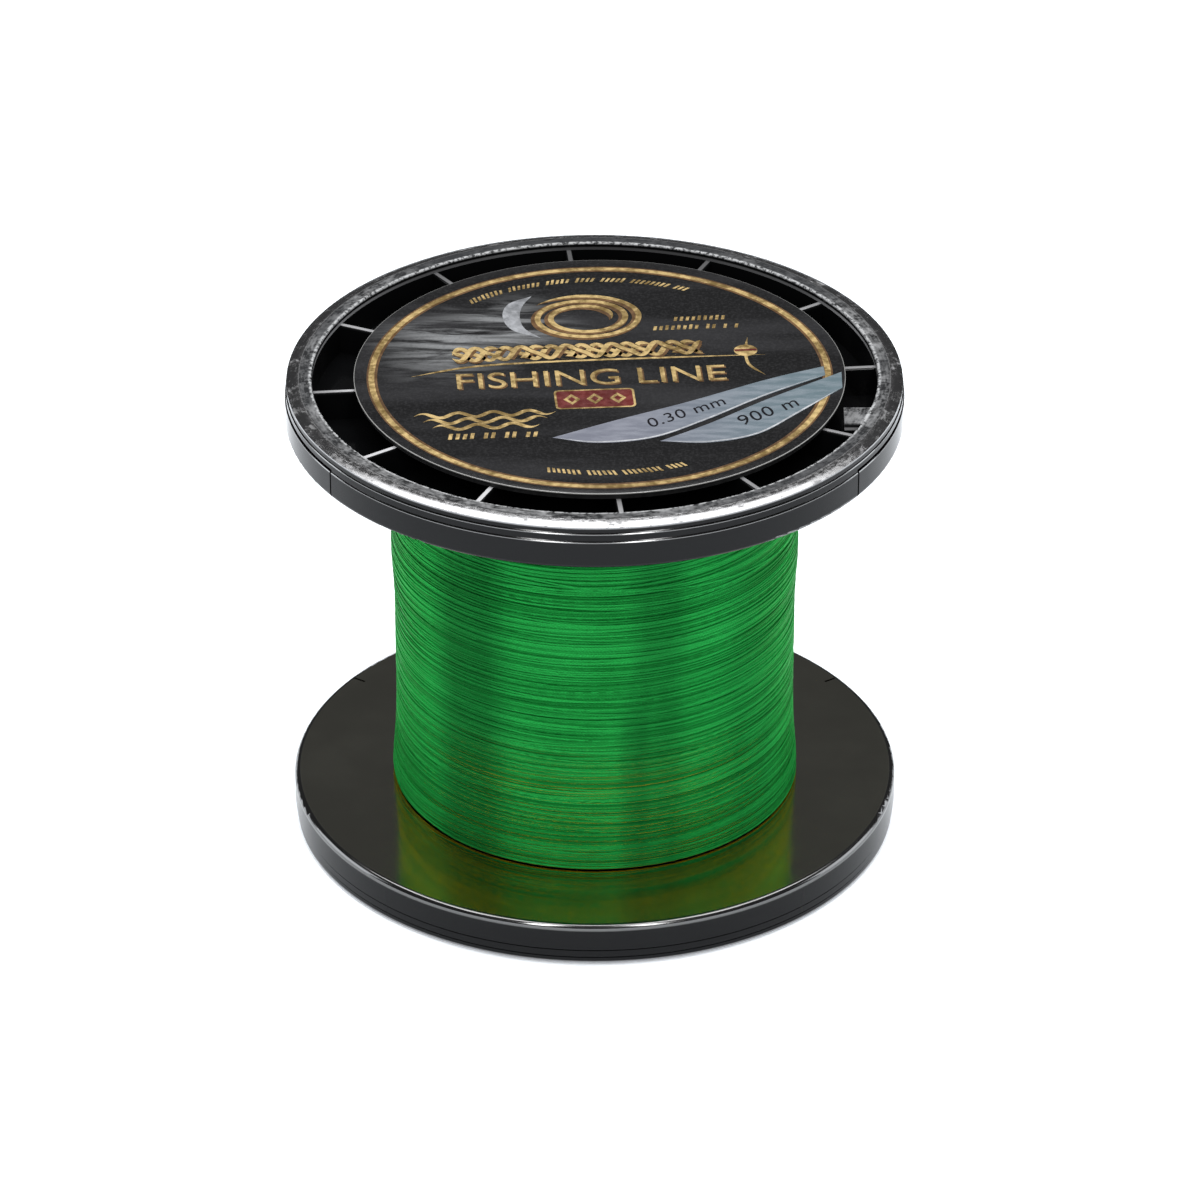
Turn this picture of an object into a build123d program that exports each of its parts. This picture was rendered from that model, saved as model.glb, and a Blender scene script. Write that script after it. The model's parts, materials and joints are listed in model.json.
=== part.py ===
from build123d import *
import os


# Bulk spool of fishing line: two identical flange mouldings on a ribbed core barrel,
# a cover disc and a printed label in each flange, and the wound line between them.
# Units are millimetres. The spool's axis is Z and the origin is the middle of the
# circle that the lower rim rests on. +X points to the right of the label's artwork.

os.makedirs("parts", exist_ok=True)

# ---------------------------------------------------------------- driving sizes
flange_diameter = 100.0
spool_height = 81.5

# Flange rim and web
rim_height = 7.7            # along the axis, from the line side to the rim's face
rim_width = 4.4
rim_edge_radius = 0.3       # rounding of the rim's inner edge
web_thickness = 1.6         # plate that the line lies against
crown_width = 2.2           # rounded shoulder of the rim's face
crown_drop = 0.5
line_side_radius = 0.8      # rounding where the line runs off over the flange
ledge_drops = (1.6, 3.0)    # the wall grows outwards at a ledge this far below the face
ledge_step = 0.15
ledge_chamfer = 0.08
groove_height = 0.2         # fine groove above each ledge
groove_depth = 0.2

# Ribs of the flange's outer side
rib_count = 12
rib_thickness = 1.25
rib_edge_radius = 0.45      # rounding along the ribs' tops
rib_angle = 5.5             # direction of the first rib, degrees from +X
cover_seat = 1.2            # the ribs' tops lie this far below the rim's face
collar_wall = 2.0           # collar round the hub tube

# Corner pad beside the label, level with the rim's face
pad_width = 5.3
pad_middle = -14.4
pad_gap = 0.1

# Line clips: a slot across the rim that leads into a slit along it
clip_angles = (213.5, -33.5)
clip_turns = (-30.0, 30.0)  # each slit runs this far round from its slot, degrees
clip_slit = 0.5
clip_slot = 0.4
clip_depth = 3.0

# Core barrel
barrel_diameter = 52.0
barrel_wall = 2.0
hub_bore = 16.0
hub_wall = 2.0
barrel_rib_count = 6
barrel_rib_thickness = 1.5
spigot_depth = 8.0
spigot_wall = 2.0
push_fit_gap = 0.1          # between each flange and the barrel or hub tube
spigot_end_gap = 0.5

# Cover discs and labels
cover_diameter = 78.7
label_diameter = 79.3
label_thickness = 0.25
label_recess = 0.1          # the label's face lies this far below the rim's face
label_shift = 0.8           # the disc and label sit this far towards +X
cover_hole_gap = 0.6        # radial, between the spindle bore and the holes below it

# Wound line
winding_diameter = 65.5
winding_end_gap = 0.05      # the line stops this far short of each flange
# The outside swells and narrows along the axis: (share of the height, added radius)
winding_swells = (
    (0.00, 0.80), (0.05, 0.60), (0.14, 0.15), (0.38, 0.00), (0.56, 0.15),
    (0.64, 0.45), (0.74, 0.20), (0.86, 0.15), (0.95, 0.55), (1.00, 0.75),
)
tape_thickness = 0.12       # tape that holds the inner end of the line on the barrel
tape_height = 15.0
tape_start = 250.0
tape_turn = 40.0

# ---------------------------------------------------------------- dependent sizes
flange_radius = flange_diameter / 2
rim_inner_radius = flange_radius - rim_width
hub_radius = hub_bore / 2 + hub_wall
hub_hole_radius = hub_radius + push_fit_gap
collar_radius = hub_hole_radius + collar_wall
barrel_radius = barrel_diameter / 2
barrel_inner_radius = barrel_radius - barrel_wall
spigot_radius = barrel_inner_radius - push_fit_gap
rib_top = rim_height - cover_seat
winding_height = spool_height - 2 * rim_height
barrel_rib_height = winding_height - 2 * (spigot_depth + spigot_end_gap)
hub_length = spool_height - 2 * cover_seat
cover_thickness = cover_seat - label_recess - label_thickness
cover_hole_radius = hub_bore / 2 + cover_hole_gap

# Each flange is built on the plane of its line side, which faces away from the line.
# The lower one is the same moulding turned over about the X axis.
upper_seat = Plane((0, 0, spool_height - rim_height), x_dir=(1, 0, 0), z_dir=(0, 0, 1))
lower_seat = Plane((0, 0, rim_height), x_dir=(1, 0, 0), z_dir=(0, 0, -1))


def profile_plane(seat):
    """Plane through the axis whose x is the radius and whose y is the seat's own axis."""
    return Plane(seat.origin, x_dir=seat.x_dir, z_dir=-seat.y_dir)


def wall_points():
    """Points of the rim's outer wall, from its line-side edge up to the crown."""
    points = [(flange_radius, line_side_radius)]
    radius = flange_radius
    for drop in reversed(ledge_drops):
        height = rim_height - drop
        inner = radius - ledge_step
        points += [
            (radius, height - ledge_chamfer),
            (radius - ledge_chamfer, height),
            (inner - groove_depth, height),
            (inner - groove_depth, height + groove_height),
            (inner, height + groove_height),
        ]
        radius = inner
    points.append((radius, rim_height - crown_drop))
    return points


def flange(seat):
    """One flange moulding: web, rim, spigot, collar, ribs, corner pad and line clips."""
    wall = wall_points()
    crown_radius, crown_edge = wall[-1]
    crown_start = (crown_radius - crown_width, rim_height)
    edge_start = (rim_inner_radius + rim_edge_radius, rim_height)
    edge_end = (rim_inner_radius, rim_height - rim_edge_radius)
    line_side_edge = (flange_radius - line_side_radius, 0)
    slit_height = rim_height - ledge_drops[1]
    with BuildPart() as moulding:
        with BuildSketch(profile_plane(seat)):
            with BuildLine():
                Polyline((hub_hole_radius, web_thickness), (hub_hole_radius, 0), line_side_edge)
                TangentArc(line_side_edge, wall[0], tangent=(1, 0))
                Polyline(*wall)
                TangentArc(crown_start, (crown_radius, crown_edge), tangent=(1, 0))
                Line(crown_start, edge_start)
                TangentArc(edge_start, edge_end, tangent=(-1, 0))
                Polyline(edge_end, (rim_inner_radius, web_thickness), (hub_hole_radius, web_thickness))
            make_face()
        revolve(axis=Axis(seat.origin, seat.z_dir))
        with BuildSketch(seat.offset(-spigot_depth)):
            Circle(spigot_radius)
            Circle(spigot_radius - spigot_wall, mode=Mode.SUBTRACT)
        extrude(amount=spigot_depth + web_thickness / 2)
        with BuildSketch(seat.offset(web_thickness / 2)):
            Circle(collar_radius)
            Circle(hub_hole_radius, mode=Mode.SUBTRACT)
        extrude(amount=rib_top - web_thickness / 2)
        rib_inner = collar_radius - collar_wall / 2
        rib_outer = rim_inner_radius + rim_width / 4
        rib_height = rib_top - web_thickness / 2
        for index in range(rib_count):
            turn = rib_angle + index * 360 / rib_count
            outwards = seat.x_dir.rotate(Axis((0, 0, 0), seat.z_dir), turn)
            start = seat.origin + outwards * rib_inner + seat.z_dir * (web_thickness / 2)
            with BuildSketch(Plane(start, x_dir=seat.z_dir.cross(outwards), z_dir=outwards)) as rib:
                with Locations((0, rib_height / 2)):
                    Rectangle(rib_thickness, rib_height)
                fillet(rib.vertices().group_by(Axis.Y)[-1], rib_edge_radius)
            extrude(amount=rib_outer - rib_inner)
        pad_inner = label_diameter / 2 + pad_gap
        with BuildSketch(seat.offset(web_thickness / 2)):
            with Locations(((pad_inner + flange_radius) / 2, pad_middle)):
                Rectangle(flange_radius - pad_inner, pad_width)
            Circle(rim_inner_radius + rim_edge_radius + rim_width / 4, mode=Mode.INTERSECT)
        extrude(amount=rim_height - web_thickness / 2)
        for clip_angle, clip_turn in zip(clip_angles, clip_turns):
            with BuildSketch(seat.offset(slit_height)):
                sector(flange_radius - clip_depth, flange_radius + clip_depth, clip_angle, clip_turn)
            extrude(amount=clip_slit, mode=Mode.SUBTRACT)
            with BuildSketch(seat):
                with PolarLocations(flange_radius, 1, start_angle=clip_angle):
                    Rectangle(2 * clip_depth, clip_slot)
            extrude(amount=slit_height + clip_slit, mode=Mode.SUBTRACT)
    return moulding


def sector(inner, outer, start, turn):
    """A stretch of a flat ring, drawn in the sketch that is open."""
    with BuildLine() as outline:
        outside = CenterArc((0, 0), outer, start, turn)
        inside = CenterArc((0, 0), inner, start, turn)
        Line(outside @ 0, inside @ 0)
        Line(outside @ 1, inside @ 1)
    make_face(outline.edges())


# ---------------------------------------------------------------- flanges
upper_flange = flange(upper_seat)
upper_flange.part.label = "upper_flange"
export_step(upper_flange.part, "parts/upper_flange.step")

lower_flange = flange(lower_seat)
lower_flange.part.label = "lower_flange"
export_step(lower_flange.part, "parts/lower_flange.step")

# ---------------------------------------------------------------- core barrel
# The barrel stands between the two webs. Its hub tube passes through both of them and
# ends level with the ribs' tops, and the spigots of the flanges fill the barrel's ends.
with BuildPart() as core_barrel:
    with BuildSketch(Plane.XY.offset(rim_height)):
        Circle(barrel_radius)
        Circle(barrel_inner_radius, mode=Mode.SUBTRACT)
    extrude(amount=winding_height)
    with BuildSketch(Plane.XY.offset(cover_seat)):
        Circle(hub_radius)
    extrude(amount=hub_length)
    web_length = barrel_inner_radius + barrel_wall / 2
    with BuildSketch(Plane.XY.offset(rim_height + spigot_depth + spigot_end_gap)):
        with PolarLocations(web_length / 2, barrel_rib_count):
            Rectangle(web_length, barrel_rib_thickness)
    extrude(amount=barrel_rib_height)
    with BuildSketch(Plane.XY.offset(cover_seat)):
        Circle(hub_bore / 2)
    extrude(amount=hub_length, mode=Mode.SUBTRACT)
core_barrel.part.label = "core_barrel"
export_step(core_barrel.part, "parts/core_barrel.step")

# ---------------------------------------------------------------- cover discs and labels
# The upper ones are whole and close the hub tube. The lower ones let the spindle in.
with BuildPart() as upper_cover_disc:
    with BuildSketch(Plane.XY.offset(spool_height - cover_seat)):
        with Locations((label_shift, 0)):
            Circle(cover_diameter / 2)
    extrude(amount=cover_thickness)
upper_cover_disc.part.label = "upper_cover_disc"
export_step(upper_cover_disc.part, "parts/upper_cover_disc.step")

with BuildPart() as upper_label:
    with BuildSketch(Plane.XY.offset(spool_height - label_recess - label_thickness)):
        with Locations((label_shift, 0)):
            Circle(label_diameter / 2)
    extrude(amount=label_thickness)
upper_label.part.label = "upper_label"
export_step(upper_label.part, "parts/upper_label.step")

with BuildPart() as lower_cover_disc:
    with BuildSketch(Plane.XY.offset(label_recess + label_thickness)):
        with Locations((label_shift, 0)):
            Circle(cover_diameter / 2)
        Circle(cover_hole_radius, mode=Mode.SUBTRACT)
    extrude(amount=cover_thickness)
lower_cover_disc.part.label = "lower_cover_disc"
export_step(lower_cover_disc.part, "parts/lower_cover_disc.step")

with BuildPart() as lower_label:
    with BuildSketch(Plane.XY.offset(label_recess)):
        with Locations((label_shift, 0)):
            Circle(label_diameter / 2)
        Circle(cover_hole_radius, mode=Mode.SUBTRACT)
    extrude(amount=label_thickness)
lower_label.part.label = "lower_label"
export_step(lower_label.part, "parts/lower_label.step")

# ---------------------------------------------------------------- wound line and its tape
tape_base = (spool_height - tape_height) / 2

with BuildPart() as arbor_tape:
    with BuildSketch(Plane.XY.offset(tape_base)):
        sector(barrel_radius, barrel_radius + tape_thickness, tape_start, tape_turn)
    extrude(amount=tape_height)
arbor_tape.part.label = "arbor_tape"
export_step(arbor_tape.part, "parts/arbor_tape.step")

winding_base = rim_height + winding_end_gap
winding_span = winding_height - 2 * winding_end_gap
winding_outline = [
    (winding_diameter / 2 + swell, winding_base + share * winding_span)
    for share, swell in winding_swells
]
with BuildPart() as line_winding:
    with BuildSketch(Plane.XZ):
        with BuildLine():
            Spline(*winding_outline)
            Polyline(
                winding_outline[0],
                (barrel_radius, winding_base),
                (barrel_radius, winding_base + winding_span),
                winding_outline[-1],
            )
        make_face()
    revolve(axis=Axis.Z)
    with BuildSketch(Plane.XY.offset(tape_base)):
        sector(barrel_radius, barrel_radius + tape_thickness, tape_start, tape_turn)
    extrude(amount=tape_height, mode=Mode.SUBTRACT)
line_winding.part.label = "line_winding"
export_step(line_winding.part, "parts/line_winding.step")
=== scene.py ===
"""Bulk spool of green fishing line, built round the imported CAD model.

The flanges, the barrel and the cover discs are CAD nodes with procedural materials. The two
labels and the wound line are replaced by finished meshes: printed films with foil shapes on
them, and line that is laid turn by turn. All lengths are in metres.
"""
import json
import math
import random

import bpy
import numpy as np
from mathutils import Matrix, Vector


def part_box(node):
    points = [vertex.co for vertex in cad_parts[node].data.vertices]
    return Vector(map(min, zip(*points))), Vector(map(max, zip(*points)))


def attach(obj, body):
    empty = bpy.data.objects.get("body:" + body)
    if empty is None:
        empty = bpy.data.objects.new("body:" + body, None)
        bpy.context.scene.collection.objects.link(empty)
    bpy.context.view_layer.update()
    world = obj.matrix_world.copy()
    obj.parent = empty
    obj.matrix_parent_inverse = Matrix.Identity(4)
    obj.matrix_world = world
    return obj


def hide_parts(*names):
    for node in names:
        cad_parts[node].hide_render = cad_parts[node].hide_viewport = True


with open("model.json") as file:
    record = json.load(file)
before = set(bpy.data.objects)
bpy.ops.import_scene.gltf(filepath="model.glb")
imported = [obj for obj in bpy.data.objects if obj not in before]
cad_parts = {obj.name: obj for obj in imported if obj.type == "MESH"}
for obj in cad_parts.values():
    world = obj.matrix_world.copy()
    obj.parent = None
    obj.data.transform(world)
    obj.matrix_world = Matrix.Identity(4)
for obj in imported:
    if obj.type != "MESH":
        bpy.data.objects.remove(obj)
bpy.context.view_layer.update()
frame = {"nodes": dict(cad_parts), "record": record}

MM = 0.001
UP = 1
DOWN = -1

# ---------------------------------------------------------------- places taken from the frame
_, flange_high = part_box("upper_flange")
flange_radius = max(flange_high[0], flange_high[1])
rim_face = flange_high[2]
film_low, film_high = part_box("upper_label")
lower_film_low, lower_film_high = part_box("lower_label")
label_radius = (film_high[0] - film_low[0]) / 2
label_x = (film_high[0] + film_low[0]) / 2
label_top = film_high[2]
wound_low, wound_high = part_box("line_winding")
spindle_bore = next(mount for mount in frame["record"]["mounts"] if mount["name"] == "spindle_bore")
HOLE_CLEARANCE = 0.6 * MM
hole_radius = spindle_bore["dims"]["r_mm"] * MM + HOLE_CLEARANCE
CROWN_START = flange_radius - 2.2 * MM
RIB_DROP = 1.2 * MM


# ---------------------------------------------------------------- material helpers
class Shader:
    """A material with a Principled BSDF and short ways to add nodes to it."""

    def __init__(self, name, **values):
        self.material = bpy.data.materials.new(name)
        self.material.use_nodes = True
        self.tree = self.material.node_tree
        self.bsdf = self.tree.nodes["Principled BSDF"]
        for socket, value in values.items():
            self.bsdf.inputs[socket.replace("_", " ")].default_value = value

    def node(self, kind, **settings):
        new = self.tree.nodes.new(kind)
        for key, value in settings.items():
            setattr(new, key, value)
        return new

    def link(self, source, target):
        self.tree.links.new(source, target)

    def coordinates(self):
        return self.node("ShaderNodeTexCoord").outputs["Object"]

    def math(self, operation, first, second=None):
        new = self.node("ShaderNodeMath", operation=operation)
        for socket, value in zip(new.inputs, (first, second)):
            if value is None:
                continue
            if isinstance(value, (int, float)):
                socket.default_value = value
            else:
                self.link(value, socket)
        return new.outputs[0]

    def times(self, first, second):
        return self.math("MULTIPLY", first, second)

    def plus(self, first, second):
        return self.math("ADD", first, second)

    def away(self, value, middle):
        """How far value is from middle."""
        return self.math("ABSOLUTE", self.math("SUBTRACT", value, middle))

    def split(self, vector):
        """The X, Y and Z of a vector."""
        apart = self.node("ShaderNodeSeparateXYZ")
        self.link(vector, apart.inputs[0])
        return apart.outputs

    def noise(self, vector, scale, detail=3.0, roughness=0.55, distortion=0.0):
        new = self.node("ShaderNodeTexNoise")
        new.inputs["Scale"].default_value = scale
        new.inputs["Detail"].default_value = detail
        new.inputs["Roughness"].default_value = roughness
        new.inputs["Distortion"].default_value = distortion
        self.link(vector, new.inputs["Vector"])
        return new.outputs["Fac"]

    def stretched(self, vector, scale, turn=0.0):
        """The coordinates turned about Z and scaled, for streaks."""
        turned = self.node("ShaderNodeMapping", vector_type="POINT")
        turned.inputs["Rotation"].default_value = (0, 0, turn)
        turned.inputs["Scale"].default_value = scale
        self.link(vector, turned.inputs["Vector"])
        return turned.outputs["Vector"]

    def ramp(self, value, low, high, low_out=0.0, high_out=1.0):
        """value mapped smoothly from low..high onto low_out..high_out."""
        new = self.node("ShaderNodeMapRange", interpolation_type="SMOOTHSTEP")
        new.inputs["From Min"].default_value = low
        new.inputs["From Max"].default_value = high
        new.inputs["To Min"].default_value = low_out
        new.inputs["To Max"].default_value = high_out
        self.link(value, new.inputs["Value"])
        return new.outputs["Result"]

    def mix(self, factor, first, second):
        """A colour between first and second, each a colour or a socket."""
        new = self.node("ShaderNodeMix", data_type="RGBA")
        self.link(factor, new.inputs[0])
        for socket, value in ((new.inputs[6], first), (new.inputs[7], second)):
            if hasattr(value, "is_output"):
                self.link(value, socket)
            else:
                socket.default_value = (*value, 1.0)
        return new.outputs[2]

    def blend(self, factor, first, second):
        """A number between first and second, each a number or a socket."""
        new = self.node("ShaderNodeMix", data_type="FLOAT")
        self.link(factor, new.inputs[0])
        for socket, value in ((new.inputs[2], first), (new.inputs[3], second)):
            if hasattr(value, "is_output"):
                self.link(value, socket)
            else:
                socket.default_value = value
        return new.outputs[0]

    def bump(self, height, distance, strength=1.0):
        new = self.node("ShaderNodeBump")
        new.inputs["Distance"].default_value = distance
        new.inputs["Strength"].default_value = strength
        self.link(height, new.inputs["Height"])
        self.link(new.outputs["Normal"], self.bsdf.inputs["Normal"])

    def colour(self, socket):
        self.link(socket, self.bsdf.inputs["Base Color"])

    def roughness(self, socket):
        self.link(socket, self.bsdf.inputs["Roughness"])


def flange_material():
    """Polished black moulding. The flat rim faces are scuffed grey and darker towards the back as painted
    shade; the ribs' tops carry a pale painted highlight, and the recess is painted darker as shade.
    """
    s = Shader("flange_plastic", IOR=1.22)
    place = s.coordinates()
    x, y, z = s.split(place)
    radius = s.math("SQRT", s.plus(s.times(x, x), s.times(y, y)))
    # Depth below the nearer rim face, so that both flanges wear alike.
    middle = rim_face / 2
    depth = s.math("SUBTRACT", middle, s.away(z, middle))

    fine = s.noise(place, 1500.0, 4.0, 0.7)
    blotches = s.noise(place, 360.0, 3.0, 0.6)
    # Scratches run round the rim: the angle is stretched against the radius.
    polar = s.node("ShaderNodeCombineXYZ")
    s.link(s.times(s.math("ARCTAN2", y, x), 0.012), polar.inputs[0])
    s.link(radius, polar.inputs[1])
    scratches = s.noise(polar.outputs[0], 2600.0, 3.0, 0.6)
    smudges = s.noise(place, 60.0, 4.0, 0.6)
    mottle = s.plus(s.times(fine, 0.26), s.times(blotches, 0.46))
    mottle = s.plus(mottle, s.times(scratches, 0.28))

    # The flat rim face is scuffed up to a ragged line where the crown starts.
    on_face = s.ramp(depth, 0.35 * MM, 0.10 * MM)
    ragged = s.plus(radius, s.times(s.math("SUBTRACT", blotches, 0.5), 3.0 * MM))
    flat = s.ramp(ragged, CROWN_START + 0.35 * MM, CROWN_START - 0.35 * MM)
    worn = s.times(s.times(on_face, flat), s.ramp(radius, 39.0 * MM, 39.5 * MM))
    grey = s.mix(s.ramp(mottle, 0.41, 0.63), (0.014, 0.0145, 0.015), (0.215, 0.217, 0.221))
    wear_patches_back_shade = s.ramp(s.noise(place, 48.0, 2.0, 0.5), 0.36, 0.62, 0.25, 1.0)
    # The scuffing is painted darker towards the back (+Y), as painted shade.
    wear_patches_back_shade = s.times(wear_patches_back_shade, s.ramp(y, 26 * MM, 44 * MM, 1.0, 0.20))
    grey = s.mix(wear_patches_back_shade, (0.026, 0.027, 0.029), grey)
    inner_edge = s.times(
        s.ramp(radius, 45.4 * MM, 45.7 * MM),
        s.ramp(radius, 46.3 * MM, 45.9 * MM),
    )
    grey = s.mix(s.times(inner_edge, s.ramp(fine, 0.40, 0.55)), grey, (0.34, 0.345, 0.35))
    crown = s.times(
        s.ramp(radius, CROWN_START - 0.2 * MM, CROWN_START),
        s.ramp(depth, 0.9 * MM, 0.6 * MM),
    )
    nicks = s.times(crown, s.ramp(mottle, 0.56, 0.63))

    # The recess inside the rim is painted darker, as painted shade; the ribs' tops lie just below the rim
    # face.
    shaded_recess = s.times(s.ramp(radius, 45.9 * MM, 45.6 * MM), s.ramp(depth, 0.25 * MM, 0.45 * MM))
    shaded_recess = s.times(shaded_recess, s.ramp(depth, 7.0 * MM, 6.6 * MM))
    rib_tops = s.times(
        s.ramp(depth, RIB_DROP + 0.06 * MM, RIB_DROP + 0.02 * MM),
        s.ramp(depth, 0.6 * MM, 0.9 * MM),
    )
    rib_tops = s.times(rib_tops, shaded_recess)
    # The pale rib tops are a patchy painted highlight that fades towards the back (+Y) as painted shade.
    painted_rib_highlight = s.times(rib_tops, s.ramp(s.noise(place, 24.0, 1.0, 0.5), 0.38, 0.60, 0.25, 1.0))
    painted_rib_highlight = s.times(painted_rib_highlight, s.ramp(y, 12 * MM, 38 * MM, 1.0, 0.22))

    # Painted shade: the recess gets a darker black than the rest of the moulding.
    colour = s.mix(shaded_recess, (0.0075, 0.0078, 0.0085), (0.0022, 0.0023, 0.0025))
    colour = s.mix(worn, colour, grey)
    colour = s.mix(nicks, colour, (0.22, 0.22, 0.225))
    colour = s.mix(painted_rib_highlight, colour, (0.40, 0.40, 0.41))

    # Polished parts mirror most: the faces towards the line, the crown, and edges that catch
    # the light, which are the lower flange's lip and the upper flange's two fine ledges.
    inside = s.times(s.ramp(depth, 6.6 * MM, 7.2 * MM), s.ramp(radius, 49.4 * MM, 49.0 * MM))
    upper = s.ramp(z, middle - 1.0 * MM, middle + 1.0 * MM)
    outer = s.ramp(radius, 49.0 * MM, 49.2 * MM)
    lip = s.times(s.ramp(depth, 6.5 * MM, 6.8 * MM), outer)
    lip = s.times(lip, s.math("SUBTRACT", 1.0, upper))
    bright = [(inside, (0.36, 0.355, 0.30)), (lip, (0.14, 0.14, 0.14))]
    for ledge in (1.6 * MM, 3.0 * MM):
        near = s.times(s.ramp(s.away(depth, ledge), 0.22 * MM, 0.12 * MM), outer)
        bright.append((s.times(near, upper), (0.22, 0.22, 0.22)))
    bright.append((s.times(crown, s.math("SUBTRACT", 1.0, nicks)), (0.30, 0.30, 0.305)))
    mirror = 0.0
    for mask, reflectance in bright:
        mirror = s.blend(mask, mirror, 1.0)
        colour = s.mix(mask, colour, reflectance)
    s.colour(colour)
    s.link(mirror, s.bsdf.inputs["Metallic"])

    polished = s.ramp(smudges, 0.3, 0.7, 0.09, 0.17)
    polished = s.blend(crown, polished, s.ramp(mottle, 0.45, 0.60, 0.16, 0.34))
    s.roughness(s.blend(worn, polished, s.ramp(mottle, 0.40, 0.60, 0.24, 0.40)))
    skin = s.times(mottle, s.plus(worn, s.times(crown, 0.35)))
    s.bump(s.plus(skin, s.times(smudges, 0.15)), 0.06 * MM, 0.7)
    return s.material


def moulded_material(name, colour, roughness, gloss=0.45):
    """Plain moulded or cut plastic with a faint grain."""
    s = Shader(name, Specular_IOR_Level=gloss)
    place = s.coordinates()
    grain = s.noise(place, 900.0, 4.0, 0.6)
    s.colour(s.mix(s.ramp(grain, 0.3, 0.7), colour, tuple(1.6 * c for c in colour)))
    s.roughness(s.ramp(grain, 0.3, 0.7, roughness, roughness + 0.15))
    s.bump(grain, 0.03 * MM, 0.5)
    return s.material


def film_material():
    """Charcoal printed film under a clear gloss, with smoky brushed light at the upper left."""
    s = Shader("label_film", Coat_Weight=0.5, Coat_Roughness=0.04, Coat_IOR=1.45, Specular_IOR_Level=0.25)
    place = s.coordinates()
    streaks = s.noise(s.stretched(place, (0.35, 2.4, 1.0), math.radians(-42)), 120.0, 6.0, 0.70, 0.8)
    grain = s.noise(place, 2400.0, 2.0, 0.6)
    along, across, _ = s.split(s.stretched(place, (1, 1, 1), math.radians(-30)))
    # The smoke is densest in a patch left of and above the middle.
    patch = s.times(
        s.ramp(s.away(along, -11.0 * MM), 21.0 * MM, 4.0 * MM),
        s.ramp(s.away(across, 20.0 * MM), 14.0 * MM, 2.0 * MM),
    )
    smoke = s.times(patch, s.ramp(streaks, 0.42, 0.62))
    wisps = s.noise(s.stretched(place, (0.3, 1.6, 1.0)), 60.0, 4.0, 0.6)
    veil = s.ramp(wisps, 0.42, 0.68, 0.0, 0.55)
    ground = s.mix(veil, (0.0045, 0.0045, 0.0048), (0.026, 0.026, 0.028))
    smoked = s.mix(s.times(smoke, 0.85), ground, (0.20, 0.205, 0.21))
    # A pale painted highlight runs round the film's edge.
    centred = s.node("ShaderNodeMapping", vector_type="POINT")
    centred.inputs["Location"].default_value = (-label_x, 0, 0)
    centred.inputs["Scale"].default_value = (1, 1, 0)
    s.link(place, centred.inputs["Vector"])
    reach = s.node("ShaderNodeVectorMath", operation="LENGTH")
    s.link(centred.outputs["Vector"], reach.inputs[0])
    painted_edge_highlight = s.ramp(reach.outputs["Value"], label_radius - 0.16 * MM, label_radius - 0.06 * MM, 0.0, 0.8)
    printed = s.mix(s.ramp(grain, 0.44, 0.70, 0.0, 0.26), smoked, (0.040, 0.040, 0.042))
    s.colour(s.mix(painted_edge_highlight, printed, (0.30, 0.30, 0.29)))
    s.roughness(s.ramp(streaks, 0.3, 0.7, 0.18, 0.26))
    s.bump(s.noise(place, 55.0, 2.0, 0.4), 0.10 * MM, 0.55)
    return s.material


def foil_material(name, dark, light, metallic, scale=900.0):
    """Printed foil: a colour that varies a little, with fine grain."""
    s = Shader(name, Metallic=metallic, Specular_IOR_Level=0.5, Coat_Weight=0.3, Coat_Roughness=0.08)
    place = s.coordinates()
    grain = s.noise(place, scale, 4.0, 0.65)
    broad = s.noise(place, 140.0, 2.0, 0.5)
    both = s.plus(s.times(grain, 0.5), s.times(broad, 0.5))
    s.colour(s.mix(s.ramp(both, 0.38, 0.62), dark, light))
    s.roughness(s.ramp(grain, 0.3, 0.7, 0.28, 0.48))
    s.bump(grain, 0.015 * MM, 0.6)
    return s.material


def sweep_material():
    """Silver-blue print that turns from lilac at its tip to blue-green at the label's edge."""
    s = Shader("print_silver_blue", Metallic=0.25, Coat_Weight=0.4, Coat_Roughness=0.08)
    place = s.coordinates()
    towards_edge = s.ramp(s.split(place)[0], 2 * MM, 38 * MM)
    tint = s.mix(towards_edge, (0.150, 0.158, 0.195), (0.105, 0.150, 0.172))
    grain = s.noise(s.stretched(place, (0.5, 2.0, 1.0), math.radians(-28)), 420.0, 4.0, 0.6)
    s.colour(s.mix(s.ramp(grain, 0.35, 0.65, 0.0, 0.28), tint, (0.26, 0.275, 0.31)))
    s.roughness(s.ramp(grain, 0.3, 0.7, 0.30, 0.46))
    s.bump(grain, 0.01 * MM, 0.5)
    return s.material


# Painted shade bands on the line: bearing from the front, half width (both in degrees), strength,
# and the height in millimetres where the band fades out.
PAINTED_SHADE_BANDS = (
    (-38, 17, 0.60, 90),
    (18, 11, 0.42, 90),
    (52, 17, 0.26, 90),
    (11, 6, 0.40, 46),
    (160, 22, 0.40, 90),
)
BAND_FADE = 14


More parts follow.
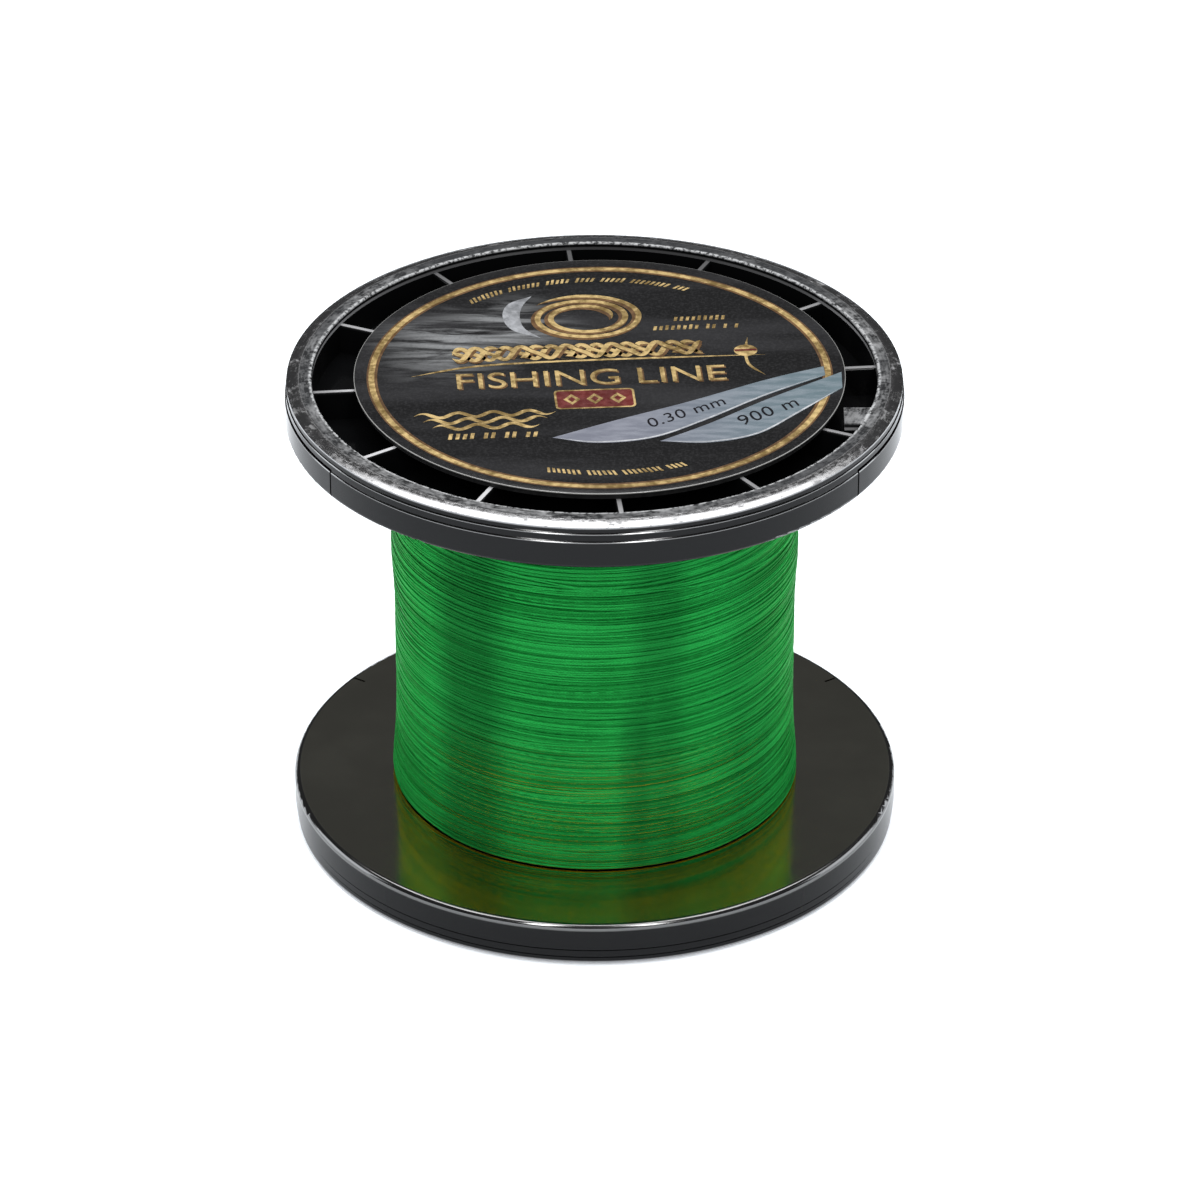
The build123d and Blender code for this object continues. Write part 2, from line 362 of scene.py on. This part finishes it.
def line_material(name, shade):
    """Green braided line. Each turn has its own tone, and the plait shows as fine ticks."""
    s = Shader(name, Specular_IOR_Level=0.04, Metallic=0.34)
    s.bsdf.inputs["Specular Tint"].default_value = (0.20, 1.0, 0.35, 1.0)

    def shaded(*colour):
        return tuple(shade * channel for channel in colour)

    tone = s.node("ShaderNodeAttribute", attribute_name="tone").outputs["Fac"]
    uv = s.node("ShaderNodeUVMap", uv_map="along").outputs["UV"]
    plait = s.node("ShaderNodeTexWave", wave_type="BANDS", bands_direction="DIAGONAL")
    plait.inputs["Scale"].default_value = 1.0
    plait.inputs["Distortion"].default_value = 1.2
    plait.inputs["Detail"].default_value = 1.0
    s.link(uv, plait.inputs["Vector"])
    place = s.coordinates()
    x, y, z = s.split(place)
    fibre = s.noise(place, 1300.0, 3.0, 0.7)
    patches = s.noise(place, 90.0, 2.0, 0.5)
    level = s.plus(s.times(tone, 0.62), s.times(patches, 0.38))
    body = s.mix(s.ramp(level, 0.22, 0.78), shaded(0.0045, 0.130, 0.0190), shaded(0.0180, 0.330, 0.0600))

    # The line is painted darker in a few bands round the spool, as painted shade.
    bearing = s.math("ARCTAN2", x, s.times(y, -1.0))
    for middle, half_width, strength, top in PAINTED_SHADE_BANDS:
        edge = math.radians(half_width)
        across = s.ramp(s.away(bearing, math.radians(middle)), edge, edge * 0.25)
        band = s.times(across, s.ramp(z, top * MM, (top - BAND_FADE) * MM))
        body = s.mix(s.times(band, strength), body, shaded(0.0030, 0.050, 0.0095))

    # Undersides near the lower flange are painted yellower, a painted reflection tint for the lower flange's
    # polished face to show.
    facing_up = s.split(s.node("ShaderNodeNewGeometry").outputs["Normal"])[2]
    painted_reflection_tint = s.times(s.ramp(facing_up, -0.42, -0.60), s.ramp(z, 33 * MM, 17 * MM))
    body = s.mix(painted_reflection_tint, body, (0.95, 0.62, 0.003))

    ticks = s.ramp(s.times(plait.outputs["Fac"], fibre), 0.10, 0.55, 0.35, 0.0)
    s.colour(s.mix(ticks, body, shaded(0.003, 0.070, 0.010)))
    s.roughness(s.ramp(fibre, 0.3, 0.7, 0.34, 0.50))
    s.bump(s.plus(plait.outputs["Fac"], s.times(fibre, 0.5)), 0.035 * MM, 0.5)
    return s.material


def floor_material():
    """Plain pale floor with a little light of its own, so that it stays even."""
    s = Shader("floor", Roughness=0.65, Specular_IOR_Level=0.25)
    fine = s.noise(s.coordinates(), 40.0, 3.0, 0.6)
    s.colour(s.mix(s.ramp(fine, 0.3, 0.7), (0.82, 0.85, 0.885), (0.85, 0.88, 0.915)))
    s.bsdf.inputs["Emission Color"].default_value = (0.95, 0.97, 1.0, 1.0)
    s.bsdf.inputs["Emission Strength"].default_value = 0.25
    return s.material


# ---------------------------------------------------------------- mesh helpers
def add_object(name, data):
    piece = bpy.data.objects.new(name, data)
    bpy.context.scene.collection.objects.link(piece)
    return piece


def add_mesh(name, vertices, faces, material, smooth=True):
    mesh = bpy.data.meshes.new(name)
    mesh.from_pydata([tuple(v) for v in vertices], [], [tuple(f) for f in faces])
    mesh.validate()
    if smooth:
        mesh.polygons.foreach_set("use_smooth", [True] * len(mesh.polygons))
    mesh.materials.append(material)
    return add_object(name, mesh)


def finish_piece(piece):
    """The piece rides on the one body."""
    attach(piece, "root")
    return piece


def ring_of(count, radius, height, centre_x, ripple):
    """Points of a circle; ripple lowers and raises them by a slow wave."""
    points = []
    for index in range(count):
        angle = 2 * math.pi * index / count
        wave = ripple * (math.sin(3 * angle + 0.7) + 0.6 * math.sin(7 * angle + 2.1))
        points.append((centre_x + radius * math.cos(angle), radius * math.sin(angle), height + wave))
    return points


def film_disc(name, low, high, outer, inner, centre_x, facing, material):
    """A thin printed film: faces, a softened edge and, where inner isn't zero, a round hole.

    facing is UP or DOWN, for the side that is printed.
    """
    count = 192
    steps = 14
    soft = 0.08 * MM
    ripple_size = 0.012 * MM
    flat_margin = 1.0 * MM
    middle_radius = 0.5 * MM
    bottom, top = (low, high) if facing == UP else (high, low)
    diagonal = 1 - math.cos(math.pi / 4)
    profile = [
        (outer - soft, bottom),
        (outer, bottom + facing * soft),
        (outer, top - facing * soft),
        (outer - soft * diagonal, top - facing * soft * diagonal),
        (outer - soft, top),
    ]
    least_radius = inner if inner else middle_radius
    for step in range(1, steps + 1):
        profile.append((outer - soft + (least_radius - outer + soft) * step / steps, top))
    if inner:
        profile.append((inner, bottom))

    # The film is drawn about the label's centre, and near its hole about the spindle's axis.
    turns_at = outer * 0.55
    vertices = []
    for radius, height in profile:
        near_hole = inner and radius <= turns_at
        share = (turns_at - radius) / (turns_at - inner) if near_hole else 0.0
        on_top = abs(height - top) < 1e-9 and least_radius * 1.2 < radius < outer - flat_margin
        ripple = ripple_size if on_top else 0.0
        vertices += ring_of(count, radius, height, centre_x * (1 - share), ripple)

    faces = []
    rows = len(profile)
    last_row = rows if inner else rows - 1
    for row in range(last_row):
        here = row * count
        after = (row + 1) % rows * count
        for index in range(count):
            following = (index + 1) % count
            faces.append((here + index, here + following, after + following, after + index))
    if not inner:
        faces.append(tuple((rows - 1) * count + index for index in range(count)))
        faces.append(tuple(reversed(range(count))))
    if facing == DOWN:
        faces = [tuple(reversed(face)) for face in faces]
    return add_mesh(name, vertices, faces, material)


# ---------------------------------------------------------------- label artwork helpers
# The artwork is drawn in millimetres about the label's centre, then turned with the label.
LABEL_TURN = math.radians(4.3)
FOIL = 0.02 * MM
FOIL_GAP = 0.012 * MM


def curve_through(points, steps=10):
    """A smooth open line through the points (Catmull-Rom)."""
    points = [np.array(p, float) for p in points]
    ends = [2 * points[0] - points[1], *points, 2 * points[-1] - points[-2]]
    line = []
    for a, b, c, d in zip(ends, ends[1:], ends[2:], ends[3:]):
        for step in range(steps):
            t = step / steps
            line.append(0.5 * (2 * b + (c - a) * t + (2 * a - 5 * b + 4 * c - d) * t**2
                               + (3 * b - 3 * c + d - a) * t**3))
    line.append(points[-1])
    return line


def circle_loop(radius, centre, count=160):
    """A closed circle."""
    angles = [2 * math.pi * index / count for index in range(count)]
    return [(centre[0] + radius * math.cos(a), centre[1] + radius * math.sin(a)) for a in angles]


def stroke_loop(line, width, taper=0.0):
    """The outline of a brush line. taper is the share of its length over which each end thins."""
    thinnest = 0.06
    line = [np.array(p, float) for p in line]
    left, right = [], []
    for index, point in enumerate(line):
        before, after = line[max(index - 1, 0)], line[min(index + 1, len(line) - 1)]
        direction = (after - before) / np.linalg.norm(after - before)
        normal = np.array((-direction[1], direction[0]))
        share = index / (len(line) - 1)
        half = width / 2
        if taper:
            half *= max(thinnest, min(1.0, share / taper, (1 - share) / taper))
        left.append(point + normal * half)
        right.append(point - normal * half)
    return left + right[::-1]


def print_shape(name, loops, material, layer=0):
    """A flat printed shape on the upper label: closed loops in millimetres, holes included."""
    curve = bpy.data.curves.new(name, "CURVE")
    curve.dimensions = "2D"
    curve.fill_mode = "BOTH"
    curve.extrude = FOIL / MM / 2
    for loop in loops:
        spline = curve.splines.new("POLY")
        spline.points.add(len(loop) - 1)
        for target, (x, y) in zip(spline.points, loop):
            target.co = (x, y, 0, 1)
        spline.use_cyclic_u = True
    return place_print(name, curve, material, layer)


def print_text(name, body, size, place, material, layer, turn=0.0, spacing=1.0, slant=0.0):
    """Plain lettering in Blender's own font, centred on place."""
    text = bpy.data.curves.new(name, "FONT")
    text.body = body
    text.size = size
    text.space_character = spacing
    text.shear = slant
    text.align_x = "CENTER"
    text.align_y = "CENTER"
    text.extrude = FOIL / MM / 2
    return place_print(name, text, material, layer, place, turn)


def place_print(name, curve, material, layer, place=(0, 0), turn=0.0):
    """Turns a drawn curve into a mesh that lies on the upper label."""
    holder = add_object(name + "_outline", curve)
    bpy.context.view_layer.update()
    mesh = bpy.data.meshes.new_from_object(holder)
    bpy.data.objects.remove(holder)
    mesh.name = name
    height = label_top + (0.5 + layer) * FOIL + FOIL_GAP
    for vertex in mesh.vertices:
        x, y, z = vertex.co
        x, y = (x * math.cos(turn) - y * math.sin(turn) + place[0],
                x * math.sin(turn) + y * math.cos(turn) + place[1])
        vertex.co = (
            label_x + MM * (x * math.cos(LABEL_TURN) - y * math.sin(LABEL_TURN)),
            MM * (x * math.sin(LABEL_TURN) + y * math.cos(LABEL_TURN)),
            height + MM * z,
        )
    mesh.materials.clear()
    mesh.materials.append(material)
    return finish_piece(add_object(name, mesh))


# ---------------------------------------------------------------- materials
flange_plastic = flange_material()
core_plastic = moulded_material("core_plastic", (0.012, 0.012, 0.013), 0.25)
cover_board = moulded_material("cover_board", (0.0040, 0.0040, 0.0042), 0.45)
tape_film = moulded_material("tape", (0.70, 0.69, 0.65), 0.30)
film = film_material()
gold = foil_material("print_gold", (0.165, 0.108, 0.034), (0.51, 0.370, 0.160), 0.35)
gold_shade = foil_material("print_gold_shade", (0.060, 0.030, 0.010), (0.110, 0.055, 0.018), 0.1)
silver = foil_material("print_silver", (0.16, 0.165, 0.175), (0.34, 0.35, 0.37), 0.3, 500.0)
red = foil_material("print_red", (0.060, 0.005, 0.004), (0.105, 0.009, 0.007), 0.0)
ink = moulded_material("print_ink", (0.0030, 0.0030, 0.0045), 0.60, 0.08)
silver_light = foil_material("print_silver_light", (0.30, 0.31, 0.33), (0.46, 0.47, 0.49), 0.3)
silver_blue = sweep_material()

cad_materials = {
    "upper_flange": flange_plastic,
    "lower_flange": flange_plastic,
    "core_barrel": core_plastic,
    "upper_cover_disc": cover_board,
    "lower_cover_disc": cover_board,
    "arbor_tape": tape_film,
}
for node_name, material in cad_materials.items():
    node = frame["nodes"][node_name]
    if not node.material_slots:
        node.data.materials.append(material)
    for material_slot in node.material_slots:
        material_slot.material = material

# ---------------------------------------------------------------- label films
upper_film = film_disc("label_film_upper", film_low[2], label_top, label_radius, 0.0, label_x, UP, film)
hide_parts("upper_label")
finish_piece(upper_film)

lower_film = film_disc(
    "label_film_lower", lower_film_low[2], lower_film_high[2], label_radius, hole_radius, label_x, DOWN, film,
)
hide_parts("lower_label")
finish_piece(lower_film)

# ---------------------------------------------------------------- label artwork
RING_RADIUS = 36.8
RING_WIDTH = 0.95
RING_CENTRE = (0.0, -0.5)


def print_ring(name, outer, inner, material):
    print_shape(name, [circle_loop(outer, RING_CENTRE), circle_loop(inner, RING_CENTRE)], material)


ring_outer = RING_RADIUS + RING_WIDTH / 2
ring_inner = RING_RADIUS - RING_WIDTH / 2
print_ring("print_ring", ring_outer, ring_inner, gold)
print_ring("print_ring_shade", ring_inner, ring_inner - 0.45, gold_shade)
print_ring("print_ring_shade_outer", ring_outer + 0.3, ring_outer, gold_shade)


def arc_ticks(name, radius, start, end, count, seed):
    """A curved row of fine slanted ticks with gaps between groups, like laid rope."""
    chance = random.Random(seed)
    loops = []
    left_in_group = chance.randint(4, 8)
    step = math.radians(end - start) / count
    half = 0.27 * step
    lean = 0.30 * step
    foot = radius - 0.65
    for index in range(count):
        left_in_group -= 1
        if left_in_group < 0:
            left_in_group = chance.randint(4, 9)
            continue
        angle = math.radians(start) + step * (index + 0.5)
        head = radius + chance.choice((0.65, 0.65, 0.85))
        corners = (
            (foot, angle - half - lean),
            (head, angle - half + lean),
            (head, angle + half + lean),
            (foot, angle + half - lean),
        )
        loops.append([(r * math.cos(a), r * math.sin(a)) for r, a in corners])
    print_shape(name, loops, gold)


def row_ticks(name, start, end, height, size, seed):
    """The same in a straight row."""
    chance = random.Random(seed)
    loops = []
    width = 0.38 * size
    lean = 0.2 * size
    spacing = 0.72 * size
    foot = height - size / 2
    x = start
    while x < end:
        head = height + size * chance.choice((0.5, 0.5, 0.65))
        loops.append([(x, foot), (x + width, foot), (x + width + lean, head), (x + lean, head)])
        x += spacing * chance.choice((1.0, 1.0, 1.0, 1.0, 1.9))
    print_shape(name, loops, gold)


arc_ticks("print_arc_top", 32.4, 127, 59, 46, 5)
arc_ticks("print_arc_base", 32.9, 251, 290, 28, 9)


def coil_path(turns, start_radius, end_radius, centre, squash, start_angle, count):
    """A flat spiral, as a coil of line seen from the side."""
    path = []
    for index in range(count + 1):
        share = index / count
        angle = start_angle + turns * 2 * math.pi * share
        radius = start_radius + (end_radius - start_radius) * share
        path.append((centre[0] + radius * math.cos(angle), centre[1] + squash * radius * math.sin(angle)))
    return path


def shifted(path, right, up):
    return [(x + right, y + up) for x, y in path]


# The emblem: a loose coil of line, and a crescent to its left.
coil = coil_path(2.42, 4.4, 9.7, (-1.0, 19.2), 0.80, math.radians(-12), 140)
print_shape("print_coil_shade", [stroke_loop(shifted(coil, -0.35, -0.35), 1.55, 0.05)], gold_shade)
print_shape("print_coil", [stroke_loop(coil, 0.95, 0.05)], gold, 1)
outer_crescent = [(-9.2, 27.3), (-13.2, 24.8), (-14.4, 20.2), (-13.0, 15.6), (-8.6, 12.6)]
inner_crescent = [(-8.6, 12.6), (-11.0, 16.0), (-11.6, 20.0), (-10.9, 24.0), (-9.2, 27.3)]
crescent = curve_through(outer_crescent) + curve_through(inner_crescent)[1:-1]
print_shape("print_crescent", [crescent], silver)

# Two small rows to the right of the emblem.
row_ticks("print_row_upper", 13.4, 21.4, 17.6, 1.35, 31)
row_ticks("print_row_lower", 9.8, 24.2, 14.6, 1.35, 32)

# A plait in place of the upper title: three strands that cross in turn.
PLAIT_START = -23.4
PLAIT_END = 17.2
PLAIT_HEIGHT = 7.7
PLAIT_WAVES = 5.5
PLAIT_STRANDS = 3
PLAIT_POINTS = 161
for strand in range(PLAIT_STRANDS):
    path = []
    for index in range(PLAIT_POINTS):
        share = index / (PLAIT_POINTS - 1)
        phase = 2 * math.pi * (share * PLAIT_WAVES + strand / PLAIT_STRANDS)
        x = PLAIT_START + (PLAIT_END - PLAIT_START) * share
        y = PLAIT_HEIGHT + 1.9 * math.sin(phase) + 0.55 * math.sin(2 * phase)
        path.append((x, y))
    shade = stroke_loop(shifted(path, 0.25, -0.3), 1.35, 0.02)
    print_shape(f"print_plait_shade_{strand}", [shade], gold_shade, strand)
    print_shape(f"print_plait_{strand}", [stroke_loop(path, 0.95, 0.02)], gold, strand + 1)

# A fine rule that rises between the two titles, and the plain lower title.
rule = curve_through([(-30.4, 0.9), (-21.5, 3.4), (-11.5, 4.3), (4.0, 4.5), (27.2, 4.3)], 14)
print_shape("print_rule", [stroke_loop(rule, 0.55, 0.16)], gold)
TITLE = "FISHING LINE"
TITLE_SIZE = 7.4
print_text("print_title_shade", TITLE, TITLE_SIZE, (-1.35, -1.95), gold_shade, 0)
print_text("print_title", TITLE, TITLE_SIZE, (-1.6, -1.6), gold, 1)

# A float with its stem, at the right of the titles.
print_shape("print_float", [circle_loop(1.9, (24.2, 5.9), 48)], gold, 1)
print_shape("print_float_band", [[(22.4, 5.7), (26.0, 5.7), (26.0, 6.3), (22.4, 6.3)]], red, 2)
stem = curve_through([(24.9, 10.4), (24.2, 6.0), (24.3, 1.2), (26.6, -2.6)])
print_shape("print_float_stem", [stroke_loop(stem, 0.5, 0.2)], gold)


def rounded_box(centre, width, height, radius):
    """A closed loop round a box with rounded corners."""
    loop = []
    for corner, (sx, sy) in enumerate(((1, 1), (-1, 1), (-1, -1), (1, -1))):
        cx = centre[0] + sx * (width / 2 - radius)
        cy = centre[1] + sy * (height / 2 - radius)
        for step in range(7):
            angle = math.pi / 2 * (corner + step / 6)
            loop.append((cx + radius * math.cos(angle), cy + radius * math.sin(angle)))
    return loop


def diamond_loop(centre, half_width, half_height):
    x, y = centre
    return [(x - half_width, y), (x, y + half_height), (x + half_width, y), (x, y - half_height)]


# A small red plate with a gold edge and a row of diamonds.
PLATE = (-1.4, -8.6)
plate_edge = [rounded_box(PLATE, 12.9, 6.3, 0.9), rounded_box(PLATE, 12.2, 5.6, 0.65)]
print_shape("print_plate", [rounded_box(PLATE, 12.4, 5.8, 0.7)], red)
print_shape("print_plate_edge", plate_edge, gold, 1)
DIAMONDS = 3
DIAMOND_SPACING = 3.7
for index in range(DIAMONDS):
    spot = (PLATE[0] + (index - 1) * DIAMOND_SPACING, PLATE[1])
    diamond = [diamond_loop(spot, 1.35, 1.75), diamond_loop(spot, 0.65, 0.9)]
    print_shape(f"print_diamond_{index}", diamond, gold, 1)

# Waves at the lower left, over a short row of bars.
WAVES = 3
WAVE_START = -30.6
WAVE_LENGTH = 22.6
WAVE_HEIGHT = -12.4
WAVE_INSET = 1.4
WAVE_DROP = 2.0
WAVE_POINTS = 91
for row in range(WAVES):
    wave = []
    crests = 4 - 0.5 * row
    for index in range(WAVE_POINTS):
        share = index / (WAVE_POINTS - 1)
        x = WAVE_START + WAVE_INSET * row + (WAVE_LENGTH - 2 * WAVE_INSET * row) * share
        y = WAVE_HEIGHT - WAVE_DROP * row + 0.75 * math.sin(share * 2 * math.pi * crests)
        wave.append((x, y))
    print_shape(f"print_wave_{row}", [stroke_loop(wave, 0.85, 0.12)], gold)
row_ticks("print_row_base", -25.6, -12.0, -19.6, 1.6, 33)

# Two silver-blue sweeps with a pale lower edge, and the line's diameter and length on them.
sweeps = (
    (
        [(-9.1, -21.0), (1.2, -16.1), (13.1, -10.9), (26.8, -4.2), (36.2, -0.5)],
        [(36.2, -3.5), (25.7, -9.8), (15.7, -17.0), (6.9, -22.2), (-2.0, -23.2), (-9.1, -21.0)],
    ),
    (
        [(7.8, -23.4), (16.1, -18.2), (26.2, -10.8), (38.9, -2.6)],
        [(38.5, -7.9), (30.9, -15.5), (23.5, -22.2), (15.5, -24.4), (7.8, -23.4)],
    ),
)
for number, (upper_side, lower_side) in enumerate(sweeps, 1):
    sweep = curve_through(upper_side) + curve_through(lower_side)[:-1]
    print_shape(f"print_sweep_{number}", [sweep], silver_blue, 1)
pale_edges = (
    [(-8.4, -21.2), (-2.0, -22.9), (6.9, -21.9), (15.7, -16.7), (25.7, -9.5), (35.6, -3.6)],
    [(8.6, -23.4), (15.5, -24.1), (23.5, -21.9), (30.9, -15.2), (37.8, -8.4)],
)
for number, edge in enumerate(pale_edges, 1):
    print_shape(f"print_sweep_edge_{number}", [stroke_loop(curve_through(edge), 0.34, 0.2)], silver_light, 2)
print_text("print_diameter", "0.30 mm", 3.9, (12.6, -14.4), ink, 2, math.radians(28.5), 1.08, 0.25)
print_text("print_length", "900 m", 4.3, (25.6, -15.2), ink, 2, math.radians(32), 1.1, 0.25)


# ---------------------------------------------------------------- wound line
# The turns follow the outside of the CAD solid: its radius at each height is read from its mesh.
OUTSIDE_DEPTH = 3.0 * MM
OUTLINE_BINS = 40
wound = frame["nodes"]["line_winding"]
corners = np.array([tuple(vertex.co) for vertex in wound.data.vertices])
corner_radius = np.hypot(corners[:, 0], corners[:, 1])
outside = corner_radius > corner_radius.max() - OUTSIDE_DEPTH
order = np.argsort(corners[outside, 2])
outline_z = corners[outside, 2][order]
outline_r = corner_radius[outside][order]
bin_z = np.linspace(outline_z[0], outline_z[-1], OUTLINE_BINS)
bin_r = np.interp(bin_z, outline_z, outline_r)

END_GAP = 0.42 * MM
low_z = wound_low[2] + END_GAP
high_z = wound_high[2] - END_GAP
TUBE_SIDES = 6
STEPS_PER_TURN = 84
PLAIT_PITCH = 0.9 * MM


def winding_radius(height):
    return np.interp(height, bin_z, bin_r)


def lay_line(name, angle, height, lift, half_width, half_height, tone, material):
    """One length of line as a closed tube. Its route is arrays of angle, height and lift."""
    count = len(angle)
    centre_r = winding_radius(height) + lift
    side = np.arange(TUBE_SIDES)
    turn = side * 2 * math.pi / TUBE_SIDES
    radius = centre_r[:, None] + half_height * np.sin(turn)[None, :]
    level = height[:, None] + half_width * np.cos(turn)[None, :]
    x = radius * np.cos(angle)[:, None]
    y = radius * np.sin(angle)[:, None]
    vertices = np.stack([x, y, level], axis=2).reshape(-1, 3)

    start = np.arange(count - 1)[:, None] * TUBE_SIDES
    first = start + side[None, :]
    beside = start + (side[None, :] + 1) % TUBE_SIDES
    quads = np.stack([first, beside, beside + TUBE_SIDES, first + TUBE_SIDES], axis=2)
    faces = quads.reshape(-1, 4).tolist()
    faces.append(list(range(TUBE_SIDES))[::-1])
    faces.append([(count - 1) * TUBE_SIDES + index for index in range(TUBE_SIDES)])
    mesh = bpy.data.meshes.new(name)
    mesh.from_pydata(vertices.tolist(), [], faces)
    mesh.polygons.foreach_set("use_smooth", [True] * len(mesh.polygons))

    tones = mesh.attributes.new("tone", "FLOAT", "POINT")
    tones.data.foreach_set("value", np.repeat(tone, TUBE_SIDES).astype(np.float32))
    advance = np.hypot(np.diff(angle) * centre_r[:-1], np.diff(height))
    lengths = np.concatenate([[0], np.cumsum(advance)])
    corner_of = np.array([loop.vertex_index for loop in mesh.loops])
    along = lengths[corner_of // TUBE_SIDES] / PLAIT_PITCH
    across = (corner_of % TUBE_SIDES) / TUBE_SIDES * 2.0
    uv = mesh.uv_layers.new(name="along")
    uv.data.foreach_set("uv", np.stack([along, across], axis=1).ravel().astype(np.float32))
    mesh.materials.append(material)
    return add_object(name, mesh)


def slow_noise(chance, count, knots, size):
    """A smooth random curve of count values with about knots bends."""
    values = chance.normal(0.0, size, knots + 3)
    at = np.linspace(0, knots, count)
    low = np.floor(at).astype(int)
    share = at - low
    share = share * share * (3 - 2 * share)
    return values[low] * (1 - share) + values[low + 1] * share


def traverse(name, turns, upwards, seed, wander, lift, half_width, half_height, material,
             steps=STEPS_PER_TURN):
    """Line wound from one flange to the other in nearly level turns."""
    chance = np.random.default_rng(seed)
    count = turns * steps + 1
    angle = np.linspace(0, 2 * math.pi * turns, count) * (1 if upwards else -1) + seed
    height = np.linspace(low_z, high_z, count) if upwards else np.linspace(high_z, low_z, count)
    height = height + slow_noise(chance, count, turns * 3, wander)
    height = height + slow_noise(chance, count, turns // 5, wander)
    height = np.clip(height, low_z, high_z)
    lifts = lift + slow_noise(chance, count, turns * 2, 0.030 * MM)
    tone = 0.5 + slow_noise(chance, count, turns, 0.24)
    tone = np.clip(tone + slow_noise(chance, count, turns * 6, 0.08), 0, 1)
    return lay_line(name, angle, height, lifts, half_width, half_height, tone, material)


def stray_turns(name, count, seed, slope, material):
    """Lengths of line that cross the level turns at a small angle and dive under at both ends."""
    chance = np.random.default_rng(seed)
    end_margin = 1.0 * MM
    raised = 0.04 * MM
    dive = 0.45 * MM
    dive_length = 0.08
    pieces = []
    for index in range(count):
        span = chance.uniform(0.7, 1.9)
        steps = int(span * STEPS_PER_TURN)
        angle = chance.uniform(0, 2 * math.pi) + np.linspace(0, 2 * math.pi * span, steps)
        steeper = 2.6 if index % 6 == 0 else 1.0
        rise = chance.normal(0.0, slope * steeper) * span
        middle = chance.uniform(low_z + end_margin, high_z - end_margin)
        height = middle + np.linspace(-rise / 2, rise / 2, steps)
        height = height + slow_noise(chance, steps, 4, 0.45 * MM)
        height = np.clip(height, low_z, high_z)
        to_end = np.minimum(np.linspace(0, 1, steps), np.linspace(1, 0, steps)) * span
        lifts = raised - dive * (1 - np.clip(to_end / dive_length, 0, 1)) ** 2
        tone = np.clip(chance.normal(0.62, 0.2) + slow_noise(chance, steps, 5, 0.08), 0, 1)
        part = f"{name}_{index:02d}"
        pieces.append(lay_line(part, angle, height, lifts, 0.20 * MM, 0.12 * MM, tone, material))
    joined = pieces[0]
    with bpy.context.temp_override(active_object=joined, selected_editable_objects=pieces):
        bpy.ops.object.join()
    joined.name = name
    return joined


# The under layer uses a copy of the line darkened to 0.85, as painted shade.
line_shaded_copy = line_material("line_shaded_copy", 0.85)
line_top = line_material("line_top", 1.0)
under_layer = traverse(
    "line_under_layer", turns=140, upwards=True, seed=3, wander=0.02 * MM, lift=-0.18 * MM,
    half_width=0.27 * MM, half_height=0.12 * MM, material=line_shaded_copy, steps=72,
)
middle_layer = traverse(
    "line_middle_layer", turns=150, upwards=False, seed=11, wander=0.08 * MM, lift=-0.10 * MM,
    half_width=0.22 * MM, half_height=0.10 * MM, material=line_top,
)
outer_layer = traverse(
    "line_outer_layer", turns=150, upwards=True, seed=23, wander=0.13 * MM, lift=-0.04 * MM,
    half_width=0.19 * MM, half_height=0.085 * MM, material=line_top,
)
strays = stray_turns("line_stray_turns", 84, 41, 2.6 * MM, line_top)
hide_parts("line_winding")
for line_piece in (under_layer, middle_layer, outer_layer, strays):
    finish_piece(line_piece)


# ---------------------------------------------------------------- floor, lights and camera
def add_floor():
    """A flat floor just below the lower rim, so that the two faces don't coincide."""
    half = 4.0
    level = -0.05 * MM
    square = [(-half, -half, level), (half, -half, level), (half, half, level), (-half, half, level)]
    add_mesh("floor", square, [(0, 1, 2, 3)], floor_material(), smooth=False)


def add_softbox(name, place, aim, width, height, power, colour=(1.0, 1.0, 1.0)):
    """A rectangular lamp at place that faces aim."""
    light = bpy.data.lights.new(name, "AREA")
    light.shape = "RECTANGLE"
    light.size = width
    light.size_y = height
    light.energy = power
    light.color = colour
    lamp = add_object(name, light)
    lamp.location = place
    direction = np.subtract(aim, place)
    yaw = math.atan2(direction[1], direction[0]) - math.pi / 2
    pitch = math.atan2(direction[2], math.hypot(direction[0], direction[1])) + math.pi / 2
    lamp.rotation_euler = (pitch, 0, yaw)


def around(azimuth, elevation, distance):
    """A place seen from the spool; azimuth 0 is the camera's side, positive to the right."""
    azimuth, elevation = math.radians(azimuth), math.radians(elevation)
    level = distance * math.cos(elevation)
    return (level * math.sin(azimuth), -level * math.cos(azimuth), distance * math.sin(elevation))


centre = (0.0, 0.0, rim_face / 2)
LAMP_DISTANCE = 1.2
COOL_WHITE = (0.93, 0.96, 1.0)
add_floor()
add_softbox("light_over", (0.0, 0.20, 1.0), (0, 0.20, 0), 1.0, 1.14, 17.5)
for side_name, side in (("left", -1), ("right", 1)):
    add_softbox(f"light_front_{side_name}", around(side * 21, 42, LAMP_DISTANCE), centre, 0.15, 0.85, 5.2)
    add_softbox(f"light_side_{side_name}", around(side * 102, 16, LAMP_DISTANCE), centre,
                0.70, 0.70, 4.5, COOL_WHITE)

world = bpy.data.worlds.new("studio")
bpy.context.scene.world = world
world.use_nodes = True
background = world.node_tree.nodes["Background"]
background.inputs["Color"].default_value = (0.30, 0.30, 0.305, 1.0)
background.inputs["Strength"].default_value = 0.30
bpy.context.scene.view_settings.view_transform = "Standard"

CAMERA_ELEVATION = math.radians(30.36)
CAMERA_DISTANCE = 1.067
camera_data = bpy.data.cameras.new("camera")
camera_data.lens = 194.6
camera_data.sensor_width = 36.0
camera = add_object("camera", camera_data)
target = (0.87 * MM, 0.0, 39.0 * MM)
camera.location = (
    target[0],
    target[1] - CAMERA_DISTANCE * math.cos(CAMERA_ELEVATION),
    target[2] + CAMERA_DISTANCE * math.sin(CAMERA_ELEVATION),
)
camera.rotation_euler = (math.pi / 2 - CAMERA_ELEVATION, 0, 0)
bpy.context.scene.camera = camera
